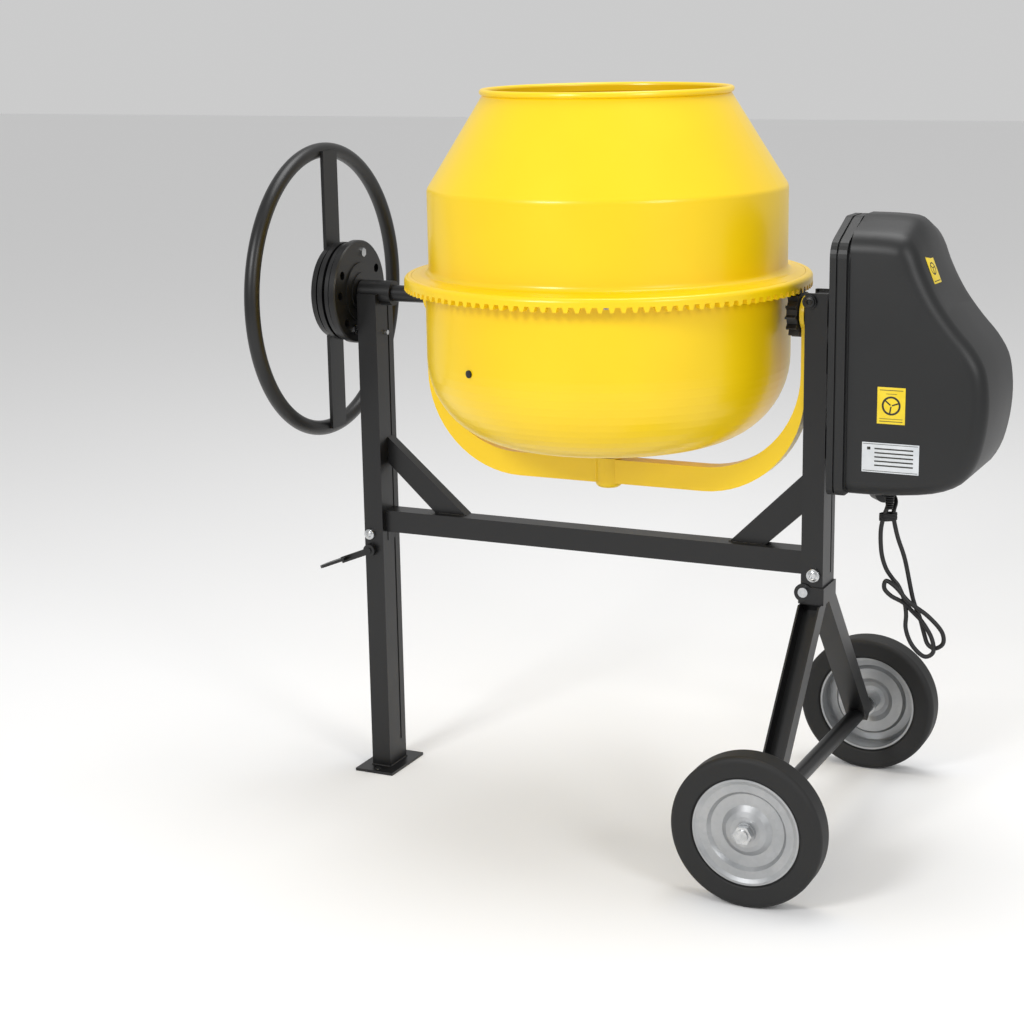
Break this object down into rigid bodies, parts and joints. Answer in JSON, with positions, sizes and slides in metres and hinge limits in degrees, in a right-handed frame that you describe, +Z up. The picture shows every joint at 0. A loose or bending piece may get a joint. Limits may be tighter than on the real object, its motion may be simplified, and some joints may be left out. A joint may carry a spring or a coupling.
{
  "type": "concrete mixer",
  "caption": "Tilting-drum concrete mixer on a two-leg wheeled stand, with a hand wheel for tipping and a motor housing that turns the drum by a ring gear.",
  "frame": {"origin": "on the floor, under the middle of the bounding box", "axes": "+X along the tilt axis towards the motor housing, +Y to the rear, +Z up"},
  "size_m": [1.186, 0.714, 1.1998],
  "materials": {
    "yellow_paint": "gloss",
    "inner_paint": "satin",
    "black_paint": "satin",
    "bright_steel": "satin",
    "zinc_steel": "satin",
    "tyre": "matt",
    "rubber": "matt",
    "black_plastic": "matt",
    "brass": "satin",
    "cast_iron": "rough",
    "grey_paint": "satin",
    "green_plastic": "gloss",
    "red_plastic": "gloss",
    "white_plastic": "gloss",
    "brown_paint": "satin"
  },
  "bodies": {
    "frame": {"left_leg": "black_paint", "foot_plate": "black_paint", "right_leg": "black_paint", "crossbar": "black_paint", "left_brace": "black_paint", "right_brace": "black_paint", "leg_socket": "black_paint", "front_strut": "black_paint", "rear_strut": "black_paint", "axle_tube": "black_paint", "axle": "bright_steel", "axle_nuts": "bright_steel", "frame_bolts": "bright_steel", "left_bearing": "black_paint", "right_bearing": "black_paint", "bearing_bolt": "black_paint", "drive_belt": "rubber", "motor_shelf": "grey_paint", "motor_body": "grey_paint", "capacitor": "white_plastic", "housing_brackets": "black_paint", "back_plate": "black_plastic", "cover": "black_plastic", "switch_base": "black_plastic", "cord_gland": "black_plastic", "cord": "rubber", "cord_tie": "black_plastic", "plug": "black_plastic"},
    "yoke_assembly": {"yoke": "yellow_paint", "left_shaft": "black_paint", "right_sleeve": "black_paint", "shaft_bushes": "brass", "spindle_boss": "yellow_paint", "spindle_bearings": "bright_steel", "boss_cap": "yellow_paint", "hand_wheel": "black_paint", "hub_discs": "black_paint", "hub_bolts": "bright_steel"},
    "drum": {"lower_drum": "yellow_paint", "upper_drum": "yellow_paint", "ring_gear": "yellow_paint", "drum_seal": "rubber", "drum_bolts": "bright_steel", "mixing_blades": "inner_paint", "blade_bolts": "bright_steel", "spindle": "brown_paint"},
    "drive": {"pinion": "cast_iron", "drive_shaft": "bright_steel", "big_pulley": "cast_iron"},
    "motor_rotor": {"motor_shaft": "bright_steel", "motor_pulley": "cast_iron"},
    "front_wheel": {"front_tyre": "tyre", "front_rim": "zinc_steel"},
    "rear_wheel": {"rear_tyre": "tyre", "rear_rim": "zinc_steel"},
    "pedal": {"pedal": "black_paint"},
    "lock_rod": {"lock_rod": "bright_steel"},
    "lock_pin": {"lock_pin": "bright_steel"},
    "on_button": {"on_button": "green_plastic"},
    "off_button": {"off_button": "red_plastic"}
  },
  "joints": [
    {"name": "tilt", "type": "hinge", "parent": "frame", "child": "yoke_assembly", "pos_m": [-0.05132, 0, 0.854], "axis": [1, 0, 0], "range_deg": [-120, 120]},
    {"name": "drum_spin", "type": "hinge", "parent": "yoke_assembly", "child": "drum", "pos_m": [-0.05132, 0, 0.854], "axis": [0, 0, 1], "continuous": true},
    {"name": "drive_spin", "type": "hinge", "parent": "yoke_assembly", "child": "drive", "pos_m": [-0.05132, 0, 0.854], "axis": [1, 0, 0], "continuous": true},
    {"name": "motor_spin", "type": "hinge", "parent": "frame", "child": "motor_rotor", "pos_m": [-0.05132, 0, 0.668], "axis": [1, 0, 0], "continuous": true},
    {"name": "front_wheel_spin", "type": "hinge", "parent": "frame", "child": "front_wheel", "pos_m": [0.30968, 0, 0.1196], "axis": [0, 1, 0], "continuous": true},
    {"name": "rear_wheel_spin", "type": "hinge", "parent": "frame", "child": "rear_wheel", "pos_m": [0.30968, 0, 0.1196], "axis": [0, 1, 0], "continuous": true},
    {"name": "pedal_swing", "type": "hinge", "parent": "frame", "child": "pedal", "pos_m": [-0.49132, 0, 0.405], "axis": [0, 1, 0], "range_deg": [0, 30]},
    {"name": "rod_slide", "type": "slide", "parent": "frame", "child": "lock_rod", "axis": [0, 0, -1], "range_m": [0, 0.00726]},
    {"name": "pin_slide", "type": "slide", "parent": "frame", "child": "lock_pin", "axis": [-1, 0, 0], "range_m": [0, 0.00726]},
    {"name": "on_press", "type": "slide", "parent": "frame", "child": "on_button", "axis": [0, -1, 0], "range_m": [0, 0.003], "stiffness_N_per_m": 400},
    {"name": "off_press", "type": "slide", "parent": "frame", "child": "off_button", "axis": [0, -1, 0], "range_m": [0, 0.003], "stiffness_N_per_m": 400}
  ],
  "couplings": [
    {"joint": "drive_spin", "follows": "drum_spin", "ratio": -9.2308},
    {"joint": "motor_spin", "follows": "drum_spin", "ratio": -62.754},
    {"joint": "rod_slide", "follows": "pedal_swing", "m_per_rad": 0.013841},
    {"joint": "pin_slide", "follows": "pedal_swing", "m_per_rad": 0.013841}
  ]
}
